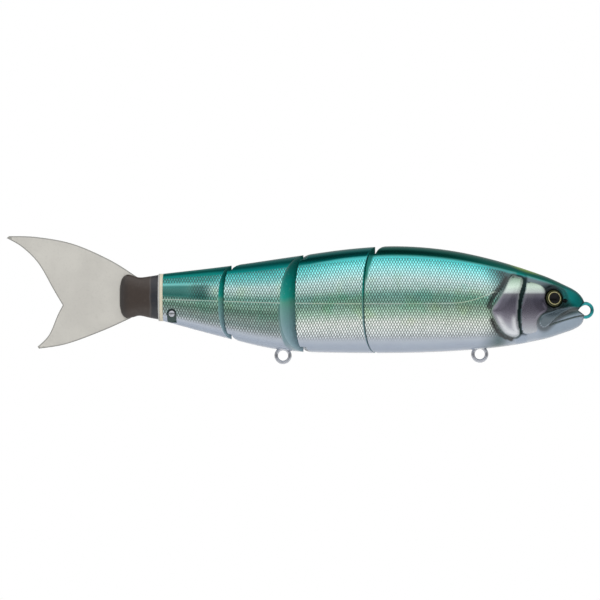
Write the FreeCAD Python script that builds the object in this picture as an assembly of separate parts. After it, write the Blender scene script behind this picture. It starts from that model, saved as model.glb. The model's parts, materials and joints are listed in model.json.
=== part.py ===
import FreeCAD, Part
import functools
import math
import os

# A four-section jointed swimbait. Millimetres. +X points to the nose and +Z up. The origin is the
# centre of the line eye's ring. Every section is drawn straight along X, and then turned about the
# hinge pins into the gentle S in which the lure lies at rest.

V = FreeCAD.Vector
UP = V(0, 0, 1)
FAR = 400.0                # further than the lure reaches along X
WIDE = 60.0                # further than it reaches across or up

# ---- driving dimensions ----

WALL = 2.0                 # wall of the moulded half shells
SECTION_POWER = 2.4        # superellipse power of the body's cross-section
SECTION_POINTS = 20        # points round one half of a cross-section
BODY_REAR = -215.9         # end of the last hard section

# (x, z) of the back and the belly, and (x, half-width) seen from above
BACK = [(-216.4, 18.6), (-181.6, 22.7), (-145.4, 27.9), (-120, 31.3), (-96, 32.7), (-71, 30.8),
        (-47, 25.8), (-22, 17.9), (-10, 12.6), (-4.6, 9.6), (-1.8, 6.7), (-0.6, 4.3)]
BELLY = [(-216.4, -5.4), (-181.6, -14.6), (-157.4, -19.9), (-132, -21.5), (-84, -21.5), (-47, -19.1),
         (-22, -14.9), (-10, -11.2), (-5.2, -9.3), (-1.8, -6.7), (-0.6, -3.4)]
BREADTH = [(-216.4, 5.2), (-181, 8.9), (-144, 12.8), (-107, 14.0), (-85, 14.3), (-45, 13.0),
           (-20, 9.8), (-8, 6.9), (-3, 4.9), (-0.6, 3.2)]
STATIONS = [-216.4, -200, -181, -163, -145, -126, -107, -88, -71, -56, -42, -31, -22, -15, -10, -6,
            -3.2, -1.6, -0.6]
CHAMBER_END = -5           # the chambers' walls follow the body no further forward than this station

# Vertical hinges: the pin's place, the rounded nose round it, and how far back the flat sides of the
# nose and of the cup ahead of it reach, at the widest point of the flank.
HINGES = [
    {"x": -111.3, "nose": 4.0, "half": 14.0, "nose_reach": 9.7, "cup_reach": 5.9, "turn": 10.0,
     "eye_z": (17.0, -9.0), "trim": (4.9, 3.9), "belly_trim": (1.0, 0.6)},
    {"x": -148.5, "nose": 4.0, "half": 12.8, "nose_reach": 12.6, "cup_reach": 6.7, "turn": -13.0,
     "eye_z": (14.0, -9.0), "trim": (4.0, 2.0), "belly_trim": (4.4, 2.5)},
    {"x": -184.1, "nose": 3.0, "half": 8.9, "nose_reach": 6.9, "cup_reach": 3.5, "turn": 0.0,
     "eye_z": (12.0, -6.0), "trim": (5.0, 2.5), "belly_trim": (4.4, 2.5)},
]
JOINT_GAP = 0.5            # between a nose and the cup round it
TRIM_OVER = 8.0            # the corner cutters reach this far past the corner they round
PIN_R = 1.0                # hinge pin
PIN_PLAY = 0.05            # radial running clearance of a pin in its eyes
PIN_END = 3.5              # shell left above and below a pin
EYE_PLATE = 1.5            # thickness of a hinge eye
EYE_PLATE_R = 2.8
EYE_PLATE_REACH = 13.0     # from the pin to the front end of a hinge eye
EYE_TONGUE_HALF = 1.6
EYE_ANCHOR_R = 2.6         # its round front end, and the hole that moulded plastic fills
EYE_ANCHOR_HOLE_R = 1.0
EYE_ANCHOR_BACK = 1.0      # from the front end to that hole's centre
EYE_PLAY = 0.35            # above and below a hinge eye in its slot
EYE_ROOM = 0.4             # round its tail in the slot
EYE_SWING_HALF = 5.5       # half the slot's mouth, for the joint's travel
SHELF_HALF = 2.6           # half the thickness of the rib that holds a hinge eye
SHELF_REACH = 14.0
SHELF_REAR = 8.0           # the rib starts inside the cup's wall
NOSE_BLOCK = 4.9           # solid material behind a hinge pin
HEAD_BLOCK = -27.0         # the head is solid ahead of here, round the eyes and the jaws

WIRE_R = 0.875             # wire of the line eye and the belly eyes
RING_R = 3.475             # centre line of their rings
ANCHOR_R = 2.2             # centre line of the small ring that anchors them in the body
LINE_EYE_TAIL = 17.0       # from the ring to its anchor
BELLY_EYES = {"front_belly_eye": (-53.9, -22.4), "rear_belly_eye": (-154.9, -23.0)}
BELLY_EYE_TAIL = 10.5
BOSS_LONG = 5.5            # half-sizes of the block that grips a belly eye
BOSS_WIDE = 5.0
BOSS_BELOW = 3.0           # below the ring's centre, into the belly's wall
BOSS_ABOVE = 2.4           # above the anchor ring

MOUTH_APEX = (-4.1, 0.0)
MOUTH_TOP = (3.0, 9.0)
MOUTH_BOTTOM = (3.0, -5.1)
MOUTH_SLOT_R = 4.65        # room in the jaws round the line eye's ring
MOUTH_SLOT_PLAY = 0.2      # each side of its wire

EYE_PLACE = (-16.6, 6.1)
EYE_R = 4.7
SOCKET_R = 4.8
SOCKET_DEPTH = 2.3
IRIS_THICK = 0.9
LENS_RISE = 1.9
LENS_SUNK = 0.2            # its edge sits this far below the skin
EYE_SPAN = 1.5             # half the stretch of skin that sets the eye's direction

FOIL_GAP = 0.15            # between a shell and the reflector that lines it
FOIL_THICK = 0.35
FOIL_CLEAR = 1.5           # from the chamber's end walls
FOIL_CENTRE = 2.5          # from the centre plane
FOIL_BOSS_GAP = 0.2
FOIL_FLOOR = 7.0           # from the lowest and highest points of the body
FOIL_ROOF = 6.0

# ballast by section: rear end, front end, top
BALLAST = {
    "head": (-91.0, -61.5, -8.5),
    "front_body": (-137.0, -121.0, -12.5),
    "rear_body": (-175.0, -161.5, -13.3),
}
BALLAST_HALF = 8.0
BALLAST_GAP = 0.2

TAIL_PIN = (-211.3, -1.6)
TAIL_PIN_R = 1.0
TAIL_PIN_HEAD_R = 1.7
TAIL_PIN_DOME_R = 2.1      # curve of its domed heads
TAIL_PIN_DOME_RISE = 1.1   # their height over the keyhole's floor
KEYHOLE_R = 2.5
KEYHOLE_SLOT = 2.8
KEYHOLE_DEPTH = 1.3
KEYHOLE_REACH = 16.0       # its cutters reach this far out of the flank and below the belly

# the tail's places along X are measured from BODY_REAR
SPACER_THICK = 2.5
POST_FRONT = 10.0
POST_REAR = -7.4
POST_HALF = 1.5
POST_Z = (-3.4, 13.0)
POST_LIP = 2.4             # half-width of the lip that keeps the boot on
POST_LIP_THICK = 1.6
POST_LIP_INSET = 2.0       # from the post's top and bottom
POST_END_WALL = 1.5        # last section's end wall ahead of the post
# boot cross-sections: x, half-width, bottom, top, power
BOOT = [(-2.5, 5.1, -4.7, 18.1, 2.6), (-6.8, 4.2, -3.9, 17.4, 2.8), (-12.3, 3.0, -2.8, 16.8, 3.0),
        (-15.8, 3.1, -3.6, 17.8, 3.2), (-18.8, 3.0, -4.0, 18.2, 3.4), (-21.3, 2.1, -1.9, 16.0, 3.2),
        (-22.3, 1.1, 1.6, 12.4, 2.8)]
FIN_THICK = 1.2
FIN_ROOT_X = -10.2
FIN_ROOT_Z = (1.0, 12.6)
FIN_LOCK_R = 1.4           # elastomer flows through these holes and locks the fin
FIN_LOCKS = [(-17.3, 2.4), (-17.3, 11.8)]
# fin outline, edge by edge, from the root over the top lobe to the lower lobe and back
FIN_EDGES = [
    [(-13.5, 17.0), (-27.5, 25.7), (-46.5, 33.9), (-65.0, 37.4), (-79.2, 37.9)],
    [(-80.4, 36.9), (-72.4, 32.2), (-64.0, 23.8), (-56.2, 10.3), (-51.6, 2.6)],
    [(-51.6, 2.6), (-54.3, -2.6), (-58.7, -12.6), (-64.5, -18.6)],
    [(-63.8, -19.6), (-49.4, -17.1), (-29.9, -9.9), (-13.5, -2.4)],
]


# ---- curves and sections ----

def along(points, x):
    """Height of a smooth line through the points at x: cubic pieces with shared slopes."""
    count = len(points)
    slopes = []
    for i in range(count):
        before = points[max(i - 1, 0)]
        after = points[min(i + 1, count - 1)]
        slopes.append((after[1] - before[1]) / (after[0] - before[0]))
    i = 0
    while i < count - 2 and x > points[i + 1][0]:
        i += 1
    span = points[i + 1][0] - points[i][0]
    t = (x - points[i][0]) / span
    start = (1 + 2 * t) * (1 - t) ** 2 * points[i][1] + t * (1 - t) ** 2 * span * slopes[i]
    end = t * t * (3 - 2 * t) * points[i + 1][1] - t * t * (1 - t) * span * slopes[i + 1]
    return start + end


def half_width(x, z):
    """Half-width of the body at a place on its flank."""
    top = along(BACK, x)
    bottom = along(BELLY, x)
    rise = abs(z - (top + bottom) / 2) / ((top - bottom) / 2)
    return along(BREADTH, x) * (1 - min(rise, 1.0) ** SECTION_POWER) ** (1 / SECTION_POWER)


def ring_wire(x, half, bottom, top, power):
    """Closed smooth cross-section in the plane at x."""
    middle = (top + bottom) / 2
    rise = (top - bottom) / 2
    points = []
    for i in range(2 * SECTION_POINTS):
        angle = math.pi * i / SECTION_POINTS
        c = math.cos(angle)
        s = math.sin(angle)
        y = math.copysign(abs(c) ** (2 / power), c) * half
        z = math.copysign(abs(s) ** (2 / power), s) * rise
        points.append(V(x, y, middle + z))
    curve = Part.BSplineCurve()
    curve.interpolate(Points=points, PeriodicFlag=True)
    return Part.Wire([curve.toShape()])


@functools.cache
def body_loft(inset, end=None):
    """The whole body as one solid, drawn in by inset all round; end leaves out the front stations."""
    wires = []
    for x in STATIONS[:end]:
        half = along(BREADTH, x) - inset
        wires.append(ring_wire(x, half, along(BELLY, x) + inset, along(BACK, x) - inset, SECTION_POWER))
    return Part.makeLoft(wires, True, False)


def box(x0, x1, y0, y1, z0, z1):
    return Part.makeBox(x1 - x0, y1 - y0, z1 - z0, V(x0, y0, z0))


def rod(r, start, end):
    return Part.makeCylinder(r, (end - start).Length, start, end - start)


def side_prism(points, half):
    """Prism across the body from an outline of (x, z) points."""
    corners = [V(x, -half, z) for x, z in points]
    face = Part.Face(Part.makePolygon(corners + corners[:1]))
    return face.extrude(V(0, 2 * half, 0))


# ---- hinges ----

def lean(hinge, radius, reach):
    """How far back a side of a nose or cup leans, from straight across."""
    back = reach - hinge["nose"]
    side = hinge["half"]
    return math.atan2(back, side) + math.asin(radius / math.hypot(back, side))


def wedge(x, radius, angle):
    """All space behind a rounded vertical V whose round is centred on x."""
    tangent = V(x + radius * math.cos(angle), radius * math.sin(angle), 0)
    out = tangent + V(-math.sin(angle), math.cos(angle), 0) * WIDE
    mirror_tangent = V(tangent.x, -tangent.y, 0)
    mirror_out = V(out.x, -out.y, 0)
    edges = [
        Part.Arc(mirror_tangent, V(x + radius, 0, 0), tangent).toShape(),
        Part.makeLine(tangent, out),
        Part.makeLine(out, V(-FAR, out.y, 0)),
        Part.makeLine(V(-FAR, out.y, 0), V(-FAR, -out.y, 0)),
        Part.makeLine(V(-FAR, -out.y, 0), mirror_out),
        Part.makeLine(mirror_out, mirror_tangent),
    ]
    prism = Part.Face(Part.Wire(edges)).extrude(UP * 2 * WIDE)
    prism.translate(UP * -WIDE)
    return prism


def nose_wedge(hinge, inset=0.0):
    return wedge(hinge["x"], hinge["nose"] - inset, lean(hinge, hinge["nose"], hinge["nose_reach"]))


def cup_wedge(hinge, outset=0.0):
    radius = hinge["nose"] + JOINT_GAP
    return wedge(hinge["x"], radius + outset, lean(hinge, radius, hinge["cup_reach"]))


def corner_trim(hinge, upper):
    """Rounds the rear corner of a leading section, above or below."""
    length, height = hinge["trim"] if upper else hinge["belly_trim"]
    line = BACK if upper else BELLY
    sign = 1 if upper else -1
    x = hinge["x"] + hinge["nose"] + JOINT_GAP
    front = x + length
    rear = x - TRIM_OVER
    top = along(line, x)
    short = 1 - math.sqrt(0.5)
    start = V(x, -WIDE, top - sign * height)
    middle = V(x + short * length, -WIDE, top - sign * short * height)
    end = V(front, -WIDE, along(line, front))
    over = end + UP * sign * TRIM_OVER
    rear_over = V(rear, -WIDE, top + sign * TRIM_OVER)
    low = V(rear, -WIDE, start.z)
    edges = [
        Part.Arc(start, middle, end).toShape(),
        Part.makeLine(end, over),
        Part.makeLine(over, rear_over),
        Part.makeLine(rear_over, low),
        Part.makeLine(low, start),
    ]
    return Part.Face(Part.Wire(edges)).extrude(V(0, 2 * WIDE, 0))


def hinge_eye(hinge, z):
    """Flat stainless eye: round end on the pin, tongue with an anchor hole in the section ahead."""
    x = hinge["x"]
    low = z - EYE_PLATE / 2
    front = x + EYE_PLATE_REACH
    hole = V(front - EYE_ANCHOR_BACK, 0, low)
    plate = Part.makeCylinder(EYE_PLATE_R, EYE_PLATE, V(x, 0, low), UP)
    plate = plate.fuse(box(x, front, -EYE_TONGUE_HALF, EYE_TONGUE_HALF, low, low + EYE_PLATE))
    plate = plate.fuse(Part.makeCylinder(EYE_ANCHOR_R, EYE_PLATE, hole, UP)).removeSplitter()
    plate = plate.cut(Part.makeCylinder(PIN_R + PIN_PLAY, EYE_PLATE, V(x, 0, low), UP))
    return plate.cut(Part.makeCylinder(EYE_ANCHOR_HOLE_R, EYE_PLATE, hole, UP))


def hinge_pin(hinge):
    x = hinge["x"]
    low = along(BELLY, x) + PIN_END
    high = along(BACK, x) - PIN_END
    return Part.makeCylinder(PIN_R, high - low, V(x, 0, low), UP)


def eye_slot(hinge, z):
    """Room in a nose for a hinge eye and its swing."""
    x = hinge["x"]
    low = z - EYE_PLATE / 2 - EYE_PLAY
    height = EYE_PLATE + 2 * EYE_PLAY
    half = EYE_SWING_HALF
    room = Part.makeCylinder(EYE_PLATE_R + EYE_ROOM, height, V(x, 0, low), UP)
    return room.fuse(box(x, x + hinge["nose"] + JOINT_GAP, -half, half, low, low + height))


def eye_shelf(hinge, z, margin=0.0):
    """Rib across the section ahead that holds a hinge eye."""
    x = hinge["x"] + hinge["nose"]
    half = SHELF_HALF + margin
    return box(x - SHELF_REAR, x + SHELF_REACH + margin, -WIDE, WIDE, z - half, z + half)


# ---- wire eyes ----

def line_eye():
    ring = Part.makeTorus(RING_R, WIRE_R, V(0, 0, 0), V(0, 1, 0))
    stem = rod(WIRE_R, V(-RING_R, 0, 0), V(-LINE_EYE_TAIL + ANCHOR_R, 0, 0))
    anchor = Part.makeTorus(ANCHOR_R, WIRE_R, V(-LINE_EYE_TAIL, 0, 0), V(0, 1, 0))
    return ring.fuse([stem, anchor])


def belly_eye(x, z):
    ring = Part.makeTorus(RING_R, WIRE_R, V(x, 0, z), V(0, 1, 0))
    stem = rod(WIRE_R, V(x, 0, z + RING_R), V(x, 0, z + BELLY_EYE_TAIL - ANCHOR_R))
    anchor = Part.makeTorus(ANCHOR_R, WIRE_R, V(x, 0, z + BELLY_EYE_TAIL), V(0, 1, 0))
    return ring.fuse([stem, anchor])


def belly_boss(x, z, margin=0.0):
    """Block on the chamber's floor that grips a belly eye's anchor."""
    long = BOSS_LONG + margin
    wide = BOSS_WIDE + margin
    top = z + BELLY_EYE_TAIL + ANCHOR_R + BOSS_ABOVE + margin
    return box(x - long, x + long, -wide, wide, z - BOSS_BELOW, top)


# ---- fish's eyes ----

def eye_axis(side):
    """Place on the flank and outward direction of a fish's eye; side is -1 right, +1 left."""
    x, z = EYE_PLACE
    span = 2 * EYE_SPAN
    slope_x = (half_width(x + EYE_SPAN, z) - half_width(x - EYE_SPAN, z)) / span
    slope_z = (half_width(x, z + EYE_SPAN) - half_width(x, z - EYE_SPAN)) / span
    out = V(-slope_x, side, -slope_z)
    out.normalize()
    return V(x, side * half_width(x, z), z), out


def eye_parts(side):
    """Socket to cut, iris disc and domed lens."""
    place, out = eye_axis(side)
    floor = place - out * SOCKET_DEPTH
    socket = Part.makeCylinder(SOCKET_R, 2 * SOCKET_DEPTH, floor, out)
    iris = Part.makeCylinder(EYE_R, IRIS_THICK, floor, out)
    base = floor + out * IRIS_THICK
    rim = SOCKET_DEPTH - IRIS_THICK - LENS_SUNK
    ball_r = (EYE_R ** 2 + LENS_RISE ** 2) / (2 * LENS_RISE)
    ball = Part.makeSphere(ball_r, base + out * (rim + LENS_RISE - ball_r))
    lens = Part.makeCylinder(EYE_R, rim + LENS_RISE, base, out).common(ball)
    return socket, iris, lens


# ---- tail ----

def tail_pin():
    x, z = TAIL_PIN
    seat = half_width(x, z) - KEYHOLE_DEPTH
    rise = TAIL_PIN_DOME_RISE
    pin = rod(TAIL_PIN_R, V(x, -seat, z), V(x, seat, z))
    for side in (-1, 1):
        head = Part.makeCylinder(TAIL_PIN_HEAD_R, 2 * rise, V(x, side * seat, z), V(0, side, 0))
        dome = Part.makeSphere(TAIL_PIN_DOME_R, V(x, side * (seat + rise - TAIL_PIN_DOME_R), z))
        pin = pin.fuse(head.common(dome))
    return pin.removeSplitter()


def keyhole(side):
    """Recess in the flank round the cross pin, running down to the belly's edge."""
    x, z = TAIL_PIN
    seat = half_width(x, z) - KEYHOLE_DEPTH
    reach = KEYHOLE_REACH
    half = KEYHOLE_SLOT / 2
    round_part = Part.makeCylinder(KEYHOLE_R, reach, V(x, side * seat, z), V(0, side, 0))
    y0, y1 = sorted((side * seat, side * (seat + reach)))
    return round_part.fuse(box(x - half, x + half, y0, y1, z - reach, z))


def tail_post():
    """Tongue from inside the last section into the boot, with the cross pin through it."""
    rear = BODY_REAR + POST_REAR
    low, high = POST_Z
    post = box(rear, BODY_REAR + POST_FRONT, -POST_HALF, POST_HALF, low, high)
    lip_low = low + POST_LIP_INSET
    lip_high = high - POST_LIP_INSET
    lip = box(rear, rear + POST_LIP_THICK, -POST_LIP, POST_LIP, lip_low, lip_high)
    post = post.fuse(lip).removeSplitter()
    x, z = TAIL_PIN
    return post.cut(rod(TAIL_PIN_R, V(x, -WIDE, z), V(x, WIDE, z)))


def spacer_solid(post):
    """Plate with the body's own section that closes the last section's end."""
    x = BODY_REAR
    half = along(BREADTH, x)
    wires = []
    for depth in (0.0, -SPACER_THICK):
        wires.append(ring_wire(x + depth, half, along(BELLY, x), along(BACK, x), SECTION_POWER))
    return Part.makeLoft(wires, True, True).cut(post)


def fin_solid():
    y = -FIN_THICK / 2
    edges = []
    last = None
    for points in FIN_EDGES:
        spots = [V(BODY_REAR + x, y, z) for x, z in points]
        if last is not None and (last - spots[0]).Length > 1e-6:
            edges.append(Part.makeLine(last, spots[0]))
        curve = Part.BSplineCurve()
        curve.interpolate(spots)
        edges.append(curve.toShape())
        last = spots[-1]
    low = V(BODY_REAR + FIN_ROOT_X, y, FIN_ROOT_Z[0])
    high = V(BODY_REAR + FIN_ROOT_X, y, FIN_ROOT_Z[1])
    first = V(BODY_REAR + FIN_EDGES[0][0][0], y, FIN_EDGES[0][0][1])
    edges += [Part.makeLine(last, low), Part.makeLine(low, high), Part.makeLine(high, first)]
    fin = Part.Face(Part.Wire(edges)).extrude(V(0, FIN_THICK, 0))
    for x, z in FIN_LOCKS:
        fin = fin.cut(rod(FIN_LOCK_R, V(BODY_REAR + x, -WIDE, z), V(BODY_REAR + x, WIDE, z)))
    return fin


def boot_solid(fin, post):
    wires = []
    for x, half, bottom, top, power in BOOT:
        wires.append(ring_wire(BODY_REAR + x, half, bottom, top, power))
    return Part.makeLoft(wires, True, False).cut(fin).cut(post)


# ---- sections ----

SECTIONS = ["head", "front_body", "rear_body", "peduncle"]


def section_bounds(solid, index, inset):
    """Cut the whole body, or its chamber, down to one section."""
    if index > 0:
        solid = solid.common(nose_wedge(HINGES[index - 1], inset))
    if index < len(HINGES):
        solid = solid.cut(cup_wedge(HINGES[index], inset))
    return solid


def chamber_box(index):
    """Limits of a hollow before the hinge blocks and the solid ends."""
    front = HEAD_BLOCK if index == 0 else HINGES[index - 1]["x"] - NOSE_BLOCK
    rear = -FAR if index < len(HINGES) else BODY_REAR + POST_FRONT + POST_END_WALL
    return box(rear, front, -WIDE, WIDE, -WIDE, WIDE)


def chamber(index):
    hollow = body_loft(WALL, CHAMBER_END).common(chamber_box(index))
    return section_bounds(hollow, index, WALL)


def bosses(index, margin=0.0):
    """Ribs and blocks that stand inside a section to hold its hardware."""
    solids = []
    if index < len(HINGES):
        solids += [eye_shelf(HINGES[index], z, margin) for z in HINGES[index]["eye_z"]]
    if index == 0:
        solids.append(belly_boss(*BELLY_EYES["front_belly_eye"], margin))
    if index == 2:
        solids.append(belly_boss(*BELLY_EYES["rear_belly_eye"], margin))
    return solids


def section_cuts(index):
    """What is cut from a section's shells: seats of its hardware and room for the joint ahead."""
    cuts = []
    if index > 0:
        hinge = HINGES[index - 1]
        cuts += [eye_slot(hinge, z) for z in hinge["eye_z"]]
        cuts.append(hinge_pin(hinge))
    if index < len(HINGES):
        hinge = HINGES[index]
        cuts += [hinge_eye(hinge, z) for z in hinge["eye_z"]]
        cuts += [corner_trim(hinge, True), corner_trim(hinge, False)]
    if index == 0:
        cuts += [line_eye(), belly_eye(*BELLY_EYES["front_belly_eye"]), mouth(), mouth_slot()]
        cuts += [eye_parts(side)[0] for side in (-1, 1)]
    if index == 2:
        cuts.append(belly_eye(*BELLY_EYES["rear_belly_eye"]))
    if index == 3:
        cuts += [tail_post(), tail_pin(), keyhole(-1), keyhole(1)]
        cuts.append(box(-FAR, BODY_REAR, -WIDE, WIDE, -WIDE, WIDE))
    return cuts


def mouth():
    return side_prism([MOUTH_APEX, MOUTH_TOP, MOUTH_BOTTOM], WIDE)


def mouth_slot():
    """Narrow room between the jaws for the line eye's ring."""
    half = WIRE_R + MOUTH_SLOT_PLAY
    return Part.makeCylinder(MOUTH_SLOT_R, 2 * half, V(0, -half, 0), V(0, 1, 0))


def shells(index):
    """Right (-Y) and left (+Y) half shells of a section."""
    hollow = chamber(index)
    for boss in bosses(index):
        hollow = hollow.cut(boss)
    solid = section_bounds(body_loft(0.0), index, 0.0).cut(hollow)
    solid = solid.cut(section_cuts(index))
    right = solid.common(box(-FAR, FAR, -WIDE, 0, -WIDE, WIDE))
    left = solid.common(box(-FAR, FAR, 0, WIDE, -WIDE, WIDE))
    return right, left


def foils(index):
    """Scale-patterned reflector lining each side of a chamber."""
    outer = body_loft(WALL + FOIL_GAP, CHAMBER_END)
    inner = body_loft(WALL + FOIL_GAP + FOIL_THICK, CHAMBER_END)
    lining = outer.cut(inner).common(chamber_box(index))
    lining = section_bounds(lining, index, WALL + FOIL_CLEAR)
    span = lining.BoundBox
    sheets = []
    for side in (-1, 1):
        y0, y1 = sorted((side * FOIL_CENTRE, side * WIDE))
        window = box(span.XMin, span.XMax - FOIL_CLEAR, y0, y1, span.ZMin + FOIL_FLOOR,
                     span.ZMax - FOIL_ROOF)
        sheets.append(lining.common(window).cut(bosses(index, FOIL_BOSS_GAP)))
    return sheets


def ballast(section):
    """Weight moulded to the chamber's floor."""
    rear, front, top = BALLAST[section]
    floor = body_loft(WALL + BALLAST_GAP, CHAMBER_END)
    return floor.common(box(rear, front, -BALLAST_HALF, BALLAST_HALF, -WIDE, top))


def settle(index, shape):
    """Turn a piece of section index about every hinge ahead of it, to the rest pose."""
    turned = shape.copy()
    for hinge in reversed(HINGES[:index]):
        turned.rotate(V(hinge["x"], 0, 0), UP, hinge["turn"])
    return turned


def build():
    """Every node: name, section it belongs to, and solid."""
    nodes = []
    for index, name in enumerate(SECTIONS):
        right, left = shells(index)
        nodes += [(name + "_shell_right", index, right), (name + "_shell_left", index, left)]
        right, left = foils(index)
        nodes += [(name + "_reflector_right", index, right), (name + "_reflector_left", index, left)]
        if name in BALLAST:
            nodes.append((name + "_ballast", index, ballast(name)))
    for index, hinge in enumerate(HINGES):
        number = str(index + 1)
        upper, lower = hinge["eye_z"]
        nodes.append(("hinge_eye_upper_" + number, index, hinge_eye(hinge, upper)))
        nodes.append(("hinge_eye_lower_" + number, index, hinge_eye(hinge, lower)))
        nodes.append(("hinge_pin_" + number, index + 1, hinge_pin(hinge)))
    nodes.append(("line_eye", 0, line_eye()))
    nodes.append(("front_belly_eye", 0, belly_eye(*BELLY_EYES["front_belly_eye"])))
    nodes.append(("rear_belly_eye", 2, belly_eye(*BELLY_EYES["rear_belly_eye"])))
    for side, word in ((-1, "right"), (1, "left")):
        socket, iris, lens = eye_parts(side)
        nodes += [("iris_" + word, 0, iris), ("eye_lens_" + word, 0, lens)]
    post = tail_post()
    fin = fin_solid()
    nodes += [("tail_hook_pin", 3, tail_pin()), ("tail_post", 3, post)]
    nodes += [("tail_spacer", 3, spacer_solid(post)), ("tail_boot", 3, boot_solid(fin, post))]
    nodes.append(("tail_fin", 3, fin))
    return nodes


os.makedirs("parts", exist_ok=True)
for node, index, shape in build():
    solid = settle(index, shape)
    solid.exportStep("parts/" + node + ".step")
    if len(solid.Solids) != 1 or not solid.isValid():
        print("look at", node, len(solid.Solids), solid.isValid())
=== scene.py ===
import json
import math

import bmesh
import bpy
import numpy as np
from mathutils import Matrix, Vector
from mathutils.geometry import delaunay_2d_cdt


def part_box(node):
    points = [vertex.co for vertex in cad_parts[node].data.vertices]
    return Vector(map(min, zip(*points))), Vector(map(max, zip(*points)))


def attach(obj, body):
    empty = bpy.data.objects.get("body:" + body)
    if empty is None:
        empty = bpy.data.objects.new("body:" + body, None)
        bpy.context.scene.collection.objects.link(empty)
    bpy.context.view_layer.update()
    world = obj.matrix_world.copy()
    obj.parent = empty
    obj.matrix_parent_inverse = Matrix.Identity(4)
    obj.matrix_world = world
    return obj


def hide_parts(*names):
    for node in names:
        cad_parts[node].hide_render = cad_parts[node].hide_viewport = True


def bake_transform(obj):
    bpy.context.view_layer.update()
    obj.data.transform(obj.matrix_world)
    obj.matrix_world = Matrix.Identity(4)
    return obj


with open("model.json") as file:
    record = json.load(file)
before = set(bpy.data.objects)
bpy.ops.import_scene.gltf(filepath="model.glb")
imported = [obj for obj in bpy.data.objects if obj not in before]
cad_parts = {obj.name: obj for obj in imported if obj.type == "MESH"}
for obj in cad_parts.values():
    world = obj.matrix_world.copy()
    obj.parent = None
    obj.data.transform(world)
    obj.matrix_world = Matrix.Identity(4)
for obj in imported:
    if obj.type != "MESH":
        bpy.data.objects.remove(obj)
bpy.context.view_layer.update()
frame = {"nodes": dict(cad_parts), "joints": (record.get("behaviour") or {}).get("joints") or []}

# A four-section jointed swimbait. The form lines below are in millimetres along the straight body,
# nose at +X; every mesh is made in them, turned with its section about the hinge pins and put in
# metres. MM is the step from one to the other.
MM = 0.001

BACK = [
    (-216.4, 18.6), (-181.6, 22.7), (-145.4, 27.9), (-120, 31.3), (-96, 32.7), (-71, 30.8), (-47, 25.8),
    (-22, 17.9), (-10, 12.6), (-4.6, 9.6), (-1.8, 6.7), (-0.6, 4.3)]
BELLY = [
    (-216.4, -5.4), (-181.6, -14.6), (-157.4, -19.9), (-132, -21.5), (-84, -21.5), (-47, -19.1),
    (-22, -14.9), (-10, -11.2), (-5.2, -9.3), (-1.8, -6.7), (-0.6, -3.4)]
BREADTH = [
    (-216.4, 5.2), (-181, 8.9), (-144, 12.8), (-107, 14), (-85, 14.3), (-45, 13), (-20, 9.8),
    (-8, 6.9), (-3, 4.9), (-0.6, 3.2)]
POWER = 2.4                # superellipse power of the cross-section
BODY_REAR = -215.9
NOSE_END = -0.6

# hinge noses and cups: nose radius, half-width, reach of nose and cup, corner trims above and below
HINGES = [
    {"nose": 4, "half": 14, "nose_reach": 9.7, "cup_reach": 5.9, "trim": (4.9, 3.9),
     "belly_trim": (1, 0.6), "eyes": (17, -9)},
    {"nose": 4, "half": 12.8, "nose_reach": 12.6, "cup_reach": 6.7, "trim": (4, 2),
     "belly_trim": (4.4, 2.5), "eyes": (14, -9)},
    {"nose": 3, "half": 8.9, "nose_reach": 6.9, "cup_reach": 3.5, "trim": (5, 2.5),
     "belly_trim": (4.4, 2.5), "eyes": (12, -6)},
]
JOINT_GAP = 0.5
SECTIONS = ["head", "front_body", "rear_body", "peduncle"]


# ---- places taken from the frame


def middle(node):
    low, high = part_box(node)
    return (low + high) / 2


AXES = [middle(f"hinge_pin_{k}") / MM for k in (1, 2, 3)]
AXES.append(Vector(frame["joints"][3]["pos_m"]) / MM)
STRAIGHT = [AXES[0].x]     # the hinges' places along the straight body
YAWS = [0]
for ahead, behind in zip(AXES, AXES[1:]):
    STRAIGHT.append(STRAIGHT[-1] - (ahead.xy - behind.xy).length)
    YAWS.append(math.atan2(ahead.y - behind.y, ahead.x - behind.x))
for hinge, x in zip(HINGES, STRAIGHT):
    hinge["x"] = x


def settle(points, index):
    """From the straight body in millimetres to the rest pose in metres."""
    points = np.asarray(points, float)
    if index == 0:
        return points * MM
    pin = AXES[index - 1]
    c, s = math.cos(YAWS[index]), math.sin(YAWS[index])
    dx, dy, z = points[:, 0] - STRAIGHT[index - 1], points[:, 1], points[:, 2]
    return np.stack([pin.x + c * dx - s * dy, pin.y + s * dx + c * dy, z], 1) * MM


# ---- form


def along(points, x):
    """Height of a smooth line through the points at x."""
    x = np.asarray(x, float)
    px, pz = np.array(points, float).T
    count = len(px)
    before = np.maximum(np.arange(count) - 1, 0)
    after = np.minimum(np.arange(count) + 1, count - 1)
    slope = (pz[after] - pz[before]) / (px[after] - px[before])
    i = np.clip(np.searchsorted(px, x) - 1, 0, count - 2)
    span = px[i + 1] - px[i]
    t = (x - px[i]) / span
    start = (1 + 2 * t) * (1 - t) ** 2 * pz[i] + t * (1 - t) ** 2 * span * slope[i]
    end = t * t * (3 - 2 * t) * pz[i + 1] - t * t * (1 - t) * span * slope[i + 1]
    return start + end


def smooth(low, high, value):
    t = np.clip((np.asarray(value, float) - low) / (high - low), 0, 1)
    return t * t * (3 - 2 * t)


def oval(angle, power=POWER):
    """Across and up on a superellipse of half-width and half-height 1."""
    c, s = np.cos(angle), np.sin(angle)
    return np.sign(c) * np.abs(c) ** (2 / power), np.sign(s) * np.abs(s) ** (2 / power)


def flank(x, angle):
    """Point of the body's skin at x and an angle from belly (-90) to back (+90 degrees)."""
    top, bottom = along(BACK, x), along(BELLY, x)
    across, up = oval(angle)
    return along(BREADTH, x) * across, (top + bottom) / 2 + (top - bottom) / 2 * up


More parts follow.
